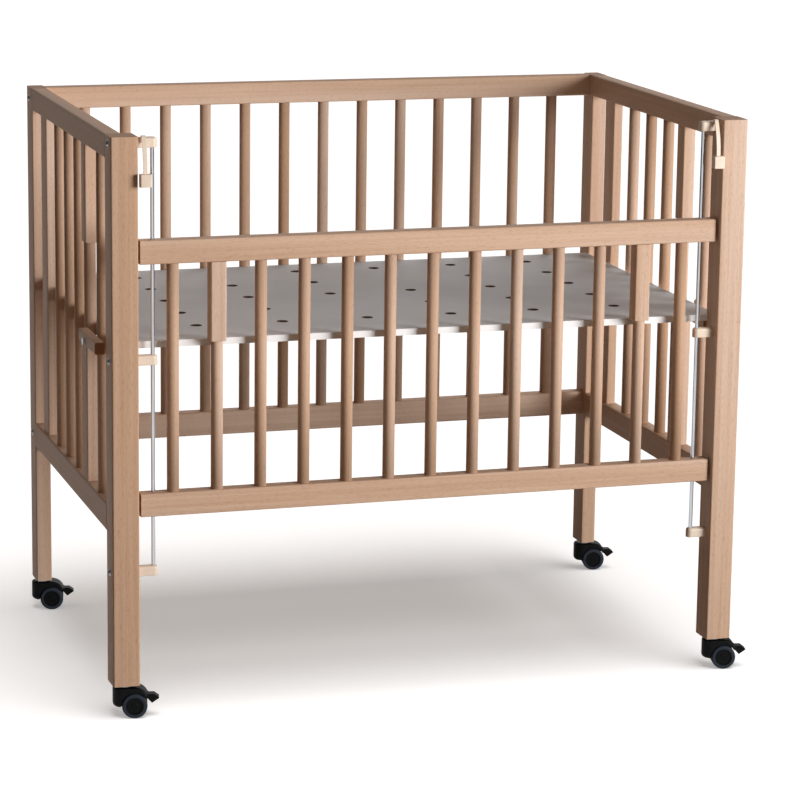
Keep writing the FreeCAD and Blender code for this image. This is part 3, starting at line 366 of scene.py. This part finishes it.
def bolt_head(tree, wide, rise, socket_radius, socket_depth):
    """A dome that stands on the face below it, with a hexagon socket in its top."""
    # the dome is the cap of a ball, whose radius follows from the cap's own sizes
    squares = add(tree, "ShaderNodeMath", {
        0: add(tree, "ShaderNodeMath", {0: wide, 1: wide}, operation="MULTIPLY"),
        1: add(tree, "ShaderNodeMath", {0: rise, 1: rise}, operation="MULTIPLY")},
        operation="ADD")
    twice = add(tree, "ShaderNodeMath", {0: rise, 1: 2.0}, operation="MULTIPLY")
    ball_radius = add(tree, "ShaderNodeMath", {0: squares, 1: twice}, operation="DIVIDE")
    sink = add(tree, "ShaderNodeMath", {0: rise, 1: ball_radius}, operation="SUBTRACT")
    ball = add(tree, "GeometryNodeMeshUVSphere", {
        "Radius": ball_radius, "Segments": BALL_SEGMENTS, "Rings": BALL_RINGS})
    lowered = add(tree, "GeometryNodeTransform", {
        "Geometry": ball, "Translation": add(tree, "ShaderNodeCombineXYZ", {"Z": sink})})
    smooth_ball = add(tree, "GeometryNodeSetShadeSmooth", {"Geometry": lowered})

    # everything above the face, as a block with room to spare
    thrice = add(tree, "ShaderNodeMath", {0: wide, 1: 3.0}, operation="MULTIPLY")
    half = add(tree, "ShaderNodeMath", {0: wide, 1: 0.5}, operation="MULTIPLY")
    block = add(tree, "GeometryNodeMeshCube", {"Size": add(
        tree, "ShaderNodeCombineXYZ", {"X": thrice, "Y": thrice, "Z": wide})})
    above = add(tree, "GeometryNodeTransform", {
        "Geometry": block, "Translation": add(tree, "ShaderNodeCombineXYZ", {"Z": half})})
    cap = add(tree, "GeometryNodeMeshBoolean", {"Mesh 2": [smooth_ball, above]},
              operation="INTERSECT", solver="EXACT")

    floor_of_socket = add(tree, "ShaderNodeMath", {0: rise, 1: socket_depth},
                          operation="SUBTRACT")
    up = add(tree, "ShaderNodeMath", {0: floor_of_socket, 1: half}, operation="ADD")
    hexagon = add(tree, "GeometryNodeMeshCylinder", {
        "Vertices": 6, "Radius": socket_radius, "Depth": wide})
    raised = add(tree, "GeometryNodeTransform", {
        "Geometry": hexagon, "Translation": add(tree, "ShaderNodeCombineXYZ", {"Z": up})})
    flat_sided = add(tree, "GeometryNodeSetShadeSmooth", {
        "Geometry": raised, "Shade Smooth": False})
    return add(tree, "GeometryNodeMeshBoolean", {"Mesh 1": cap, "Mesh 2": flat_sided},
               operation="DIFFERENCE", solver="EXACT")


def bolt_tree():
    """A dome-headed bolt on each point, its shank pointing down until Turn lays it
    over. The points carry their own shank lengths."""
    tree, points, size = new_tree("dome_bolts", {
        "Head Radius": "Float", "Head Rise": "Float", "Shank Radius": "Float",
        "Socket Radius": "Float", "Socket Depth": "Float", "Turn": "Rotation",
        "Metal": "Material"})
    heads = add(tree, "GeometryNodeInstanceOnPoints", {
        "Points": points, "Rotation": size["Turn"],
        "Instance": bolt_head(tree, size["Head Radius"], size["Head Rise"],
                              size["Socket Radius"], size["Socket Depth"])})
    # a shank one metre long, which each point's own length then shortens
    unit = add(tree, "GeometryNodeMeshCylinder", {
        "Vertices": SHANK_SIDES, "Radius": size["Shank Radius"], "Depth": 1.0})
    hung = add(tree, "GeometryNodeTransform", {
        "Geometry": unit, "Translation": (0, 0, -0.5)})
    shank = add(tree, "GeometryNodeSetShadeSmooth", {
        "Geometry": hung, "Selection": unit.outputs["Side"]})
    length = add(tree, "GeometryNodeInputNamedAttribute", {"Name": "shank"},
                 data_type="FLOAT")
    stretch = add(tree, "ShaderNodeCombineXYZ", {"X": 1.0, "Y": 1.0, "Z": length})
    shanks = add(tree, "GeometryNodeInstanceOnPoints", {
        "Points": points, "Instance": shank, "Rotation": size["Turn"], "Scale": stretch})
    bolts = add(tree, "GeometryNodeJoinGeometry", {0: [heads, shanks]})
    close_tree(tree, bolts, size["Metal"])
    return tree


def vent_tree():
    """Bores a grid of round vents through the board that comes in. Their walls are
    marked, so that they show the raw board, painted dark as shade, and the rest its facing."""
    tree, board, size = new_tree("board_vents", {
        "Columns": "Int", "Rows": "Int", "Wide": "Float", "Deep": "Float",
        "Middle": "Vector", "Radius": "Float", "Thickness": "Float",
        "Facing": "Material", "Wall": "Material"})
    grid = add(tree, "GeometryNodeMeshGrid", {
        "Size X": size["Wide"], "Size Y": size["Deep"],
        "Vertices X": size["Columns"], "Vertices Y": size["Rows"]})
    spots = add(tree, "GeometryNodeTransform", {
        "Geometry": grid, "Translation": size["Middle"]})
    reach = add(tree, "ShaderNodeMath", {0: size["Thickness"], 1: 3.0},
                operation="MULTIPLY")
    drill = add(tree, "GeometryNodeMeshCylinder", {
        "Vertices": VENT_SIDES, "Radius": size["Radius"], "Depth": reach})
    marked = add(tree, "GeometryNodeStoreNamedAttribute", {
        "Geometry": drill, "Name": "bore", "Value": True},
        data_type="BOOLEAN", domain="FACE")
    drills = add(tree, "GeometryNodeInstanceOnPoints", {
        "Points": spots, "Instance": marked})
    cutters = add(tree, "GeometryNodeRealizeInstances", {0: drills})
    faced = add(tree, "GeometryNodeSetMaterial", {0: board, "Material": size["Facing"]})
    bored = add(tree, "GeometryNodeMeshBoolean", {"Mesh 1": faced, "Mesh 2": cutters},
                operation="DIFFERENCE", solver="EXACT")
    real = add(tree, "GeometryNodeRealizeInstances", {0: bored})
    walls = add(tree, "GeometryNodeInputNamedAttribute", {"Name": "bore"},
                data_type="BOOLEAN")
    walled = add(tree, "GeometryNodeSetMaterial", {
        0: real, "Selection": walls, "Material": size["Wall"]})
    add(tree, "NodeGroupOutput", {0: walled})
    return tree


def grown(name, start, tree, sizes, node):
    """Runs a tree on a start mesh and keeps the result as a plain piece."""
    seed = placed(f"{name}_start", start)
    modifier = seed.modifiers.new(tree.name, "NODES")
    modifier.node_group = tree
    socket = {item.name: item.identifier for item in tree.interface.items_tree
              if item.in_out == "INPUT"}
    for label, size in sizes.items():
        modifier[socket[label]] = size
    view = bpy.context.evaluated_depsgraph_get()
    mesh = bpy.data.meshes.new_from_object(seed.evaluated_get(view))
    mesh.name = name
    bpy.data.objects.remove(seed)
    stands_for(placed(name, mesh), node)


def point_mesh(name, points, **numbers):
    """A mesh of loose points, with a number for each under a given name."""
    mesh = bpy.data.meshes.new(name)
    mesh.from_pydata(points, [], [])
    for label, column in numbers.items():
        mesh.attributes.new(label, "FLOAT", "POINT").data.foreach_set("value", column)
    return mesh


def slats(name, feet, length):
    """Stands a turned slat on each foot, in the place of one node."""
    grown(f"{name}_turned", point_mesh(f"{name}_feet", feet), SLATS, {
        "Length": length, "Radius": SLAT_RADIUS, "Tenon Radius": TENON_RADIUS,
        "Tenon": TENON, "Wood": BEECH["z"]}, name)


def frame_bolts(side):
    """Three bolts through the front post into the arms, two into the back rails."""
    sign = SIDES[side]
    spots = [(sign * POST_FACE, ROD_Y, z) for z in ARM_BOLTS]
    spots += [(sign * POST_FACE, BACK_Y, z) for z in RAIL_BOLTS]
    shanks = [ARM_SHANK] * len(ARM_BOLTS) + [RAIL_SHANK] * len(RAIL_BOLTS)
    start = point_mesh(f"frame_bolts_{side}_spots", spots, shank=shanks)
    grown(f"frame_bolts_{side}_heads", start, BOLTS, {
        "Head Radius": HEAD_RADIUS, "Head Rise": HEAD_RISE,
        "Shank Radius": SHANK_RADIUS, "Socket Radius": SOCKET_RADIUS,
        "Socket Depth": SOCKET_DEPTH, "Turn": (0, sign * math.pi / 2, 0),
        "Metal": ZINC}, f"frame_bolts_{side}")


def base_board():
    """The board's notched outline, raised to its thickness and bored."""
    plain = frame["nodes"]["base_board"].data
    # the notches for the front posts, read from the node's own corners
    rim = [(v.co.x, v.co.y) for v in plain.vertices
           if abs(v.co.z - BOARD_LOW) < SAME_PLACE]
    notch_x = max(abs(x) for x, y in rim if abs(y - BOARD_FRONT) < SAME_PLACE)
    notch_y = min(y for x, y in rim if abs(abs(x) - BOARD_X) < SAME_PLACE)
    outline = [(-notch_x, BOARD_FRONT), (notch_x, BOARD_FRONT), (notch_x, notch_y),
               (BOARD_X, notch_y), (BOARD_X, BOARD_BACK), (-BOARD_X, BOARD_BACK),
               (-BOARD_X, notch_y), (-notch_x, notch_y)]
    work = bmesh.new()
    under = work.faces.new([work.verts.new((x, y, BOARD_LOW)) for x, y in outline])
    raised = bmesh.ops.extrude_face_region(work, geom=[under])["geom"]
    bmesh.ops.translate(work, vec=(0, 0, BOARD_THICK),
                        verts=[g for g in raised if isinstance(g, bmesh.types.BMVert)])
    bmesh.ops.recalc_face_normals(work, faces=work.faces)
    blank = bpy.data.meshes.new("base_board_blank")
    work.to_mesh(blank)
    work.free()
    grown("base_board_bored", blank, VENTS, {
        "Columns": VENT_COLUMNS, "Rows": VENT_ROWS, "Wide": 2 * VENTS_X,
        "Deep": VENTS_BACK - VENTS_FRONT,
        "Middle": (0, (VENTS_FRONT + VENTS_BACK) / 2, BOARD_LOW + BOARD_THICK / 2),
        "Radius": VENT_RADIUS, "Thickness": BOARD_THICK, "Facing": BOARD,
        "Wall": VENT}, "base_board")


def wheels(corner):
    """Black hubs in a softer blue-grey tread, told apart by how far their faces reach
    from the axle."""
    piece = smooth_copy(f"castor_wheels_{corner}", BLACK, WHEEL_SHARP)
    piece.data.materials.append(TREAD)
    spin = JOINTS[f"spin_{corner}"]
    centre, axis = Vector(spin["pos_m"]), Vector(spin["axis"])

    def off_axle(vertex):
        arm = piece.data.vertices[vertex].co - centre
        return (arm - axis * arm.dot(axis)).length

    for face in piece.data.polygons:
        reach = max(off_axle(vertex) for vertex in face.vertices)
        face.material_index = int(reach > HUB_RADIUS + SAME_RADIUS)


SLATS, BOLTS, VENTS = slat_tree(), bolt_tree(), vent_tree()

# wooden pieces that come left and right, by the way their grain runs
PAIRS_BY_GRAIN = {
    "z": ["front_post", "back_post", "end_block_upper", "end_block_lower", "end_board"],
    "y": ["end_top_rail", "end_bottom_rail", "base_cleat", "clamp_bar"],
}
for axis, names in PAIRS_BY_GRAIN.items():
    for name in names:
        for side in SIDES:
            smooth_copy(f"{name}_{side}", BEECH[axis])
for name in ("back_top_rail", "back_bottom_rail", "side_top_rail", "side_bottom_rail"):
    smooth_copy(name, BEECH["x"])
for side in SIDES:
    smooth_copy(f"side_block_{side}", BEECH["z"])

slats("back_slats", [(x, BACK_Y, PANEL_FOOT) for x in BACK_ROW], PANEL_SLAT)
slats("side_slats", [(x, ROD_Y, SIDE_FOOT) for x in SIDE_ROW], SIDE_SLAT)
for side, sign in SIDES.items():
    slats(f"end_slats_{side}", [(sign * END_X, y, PANEL_FOOT) for y in END_ROW],
          PANEL_SLAT)
    for level in ("top", "middle", "bottom"):
        smooth_copy(f"rod_arm_{level}_{side}", CREAM)
    smooth_copy(f"latch_{side}", CREAM)
    smooth_copy(f"guide_rod_{side}", ROD_STEEL)
    frame_bolts(side)
smooth_copy("clamp_bolts", ZINC)
base_board()
for corner in CORNERS:
    smooth_copy(f"castor_stem_{corner}", ZINC)
    smooth_copy(f"castor_hood_{corner}", BLACK)
    smooth_copy(f"castor_pedal_{corner}", BLACK)
    wheels(corner)


# --- floor, light and camera ---------------------------------------------------------

# lamps in watts, the floor's own light in its strength
KEY, BACK, TOP, POOL = 36, 26, 2, 2.28
# the studio's even light, and how far the floor is lifted towards white
AMBIENT, FLOOR_GLOW = 0.085, 0.37
SOFTBOX = {"shape": "RECTANGLE", "size": 2.2, "size_y": 1.8, "spread": math.radians(62)}
FLOOR_REACH = 40
# dark cards: how far to the side each stands and where it starts at the front, then
# where both end at the back, and their height
CARDS = {"card_left": (-2.2, -1.95), "card_right": (2.2, -2.0)}
CARD_FAR, CARD_HIGH = 2.6, 2.4

# the photograph's view, fitted to the posts and slats
TURN, DROP, ROLL = (math.radians(angle) for angle in (17.552, 11.771, 0.765))
VIEWPOINT = (-1.4283, -4.6572, 1.474)
SENSOR_MM, LENS_MM, SHIFT = 36, 140.25, -0.05


def panel(name, corners, material):
    """One flat face of the studio."""
    mesh = bpy.data.meshes.new(name)
    mesh.from_pydata(corners, [], [(0, 1, 2, 3)])
    mesh.materials.append(material)
    face = placed(name, mesh)
    return face


def white_floor():
    """Matt white to the camera and in reflections, where it glows a little. Its
    bounce onto the crib is dim and warm."""
    material, tree, shader = new_material("matt_white_floor", {
        "Roughness": 1.0, "Specular IOR Level": 0.0, "Emission Color": WHITE})
    path = add(tree, "ShaderNodeLightPath").outputs
    seen = add(tree, "ShaderNodeMath", {
        0: path["Is Camera Ray"], 1: path["Is Glossy Ray"]}, operation="MAXIMUM")
    colour = add(tree, "ShaderNodeMix", {
        "Factor": seen, "A": linear("#786A5C"), "B": linear("#FAFAFA")},
        data_type="RGBA")
    glow = add(tree, "ShaderNodeMath", {0: seen, 1: FLOOR_GLOW}, operation="MULTIPLY")
    feed(tree, shader, {"Base Color": colour, "Emission Strength": glow})
    return panel("floor", [(x * FLOOR_REACH, y * FLOOR_REACH, 0) for x, y in
                           ((-1, -1), (1, -1), (1, 1), (-1, 1))], material)


def white_surround():
    """White to the camera, in reflections and through glass, and a low warm light on
    everything else."""
    world = bpy.data.worlds.new("studio_world")
    world.use_nodes = True
    bpy.context.scene.world = world
    tree = world.node_tree
    path = add(tree, "ShaderNodeLightPath").outputs
    seen = add(tree, "ShaderNodeMath", {
        0: path["Is Camera Ray"], 1: path["Is Glossy Ray"]}, operation="MAXIMUM")
    seen = add(tree, "ShaderNodeMath", {
        0: seen, 1: path["Is Transmission Ray"]}, operation="MAXIMUM")
    strength = add(tree, "ShaderNodeMapRange", {
        "Value": seen, "To Min": AMBIENT, "To Max": 1.0})
    tint = add(tree, "ShaderNodeMix", {
        "Factor": seen, "A": linear("#FFDABA"), "B": WHITE}, data_type="RGBA")
    feed(tree, tree.nodes["Background"], {"Color": tint, "Strength": strength})


def lamp(name, kind, spot, aim, power, floor, on_floor=False, **shape):
    """A lamp that lights either the crib or the floor. The floor has its own overhead
    light, so that only a soft pool darkens it and no streaks between the slats."""
    light = bpy.data.lights.new(name, kind)
    light.energy = power
    for setting, size in shape.items():
        setattr(light, setting, size)
    holder = placed(name, light)
    holder.location = spot
    holder.rotation_euler = (Vector(aim) - Vector(spot)).to_track_quat(
        "-Z", "Y").to_euler()
    group = bpy.data.collections.new(f"{name}_reach")
    group.objects.link(floor)
    group.collection_objects[0].light_linking.link_state = (
        "INCLUDE" if on_floor else "EXCLUDE")
    holder.light_linking.receiver_collection = group
    return holder


def dark_cards():
    """At both sides and seen in reflections alone, they give the chrome its dark
    edges."""
    black = new_material("black_card", {
        "Base Color": linear("#101214"), "Roughness": 1.0, "Specular IOR Level": 0.0})[0]
    for name, (across, near) in CARDS.items():
        card = panel(name, [(across, near, 0), (across, CARD_FAR, 0),
                            (across, CARD_FAR, CARD_HIGH), (across, near, CARD_HIGH)],
                     black)
        card.visible_camera = card.visible_diffuse = card.visible_shadow = False
        card.visible_transmission = card.visible_volume_scatter = False


def studio():
    """A white floor that keeps a soft shadow, plain soft light from the front right
    and the back right, and white all round."""
    floor = white_floor()
    white_surround()
    lamp("key_softbox", "AREA", (2.9, -3.5, 1.35), (-0.15, -0.2, 0.95), KEY, floor,
         **SOFTBOX)
    behind = lamp("back_softbox", "AREA", (2.6, 3.7, 1.4), (0, 0.2, 0.8), BACK, floor,
                  **SOFTBOX)
    # it stands where the board would mirror it towards the front
    behind.visible_glossy = False
    lamp("top_softbox", "AREA", (0.4, -0.2, 3.2), (0, 0, 0.4), TOP, floor,
         shape="RECTANGLE", size=1.6, size_y=1.2)
    lamp("floor_light", "SUN", (0.3, -0.8, 2.6), (0, 0, 0), POOL, floor, on_floor=True,
         angle=math.radians(42))
    dark_cards()


def camera():
    """A long lens from the left of the front."""
    ahead = Vector((math.sin(TURN) * math.cos(DROP), math.cos(TURN) * math.cos(DROP),
                    -math.sin(DROP)))
    level = Vector((math.cos(TURN), -math.sin(TURN), 0))
    upward = level.cross(ahead)
    right = level * math.cos(ROLL) + upward * math.sin(ROLL)
    up = upward * math.cos(ROLL) - level * math.sin(ROLL)
    data = bpy.data.cameras.new("camera")
    data.sensor_width = SENSOR_MM
    data.lens = LENS_MM
    data.shift_y = SHIFT
    data.clip_end = 100
    viewer = placed("camera", data)
    turn = Matrix((right, up, -ahead)).transposed()
    viewer.matrix_world = Matrix.Translation(VIEWPOINT) @ turn.to_4x4()
    bpy.context.scene.camera = viewer


studio()
camera()
bpy.context.scene.view_settings.view_transform = "Standard"
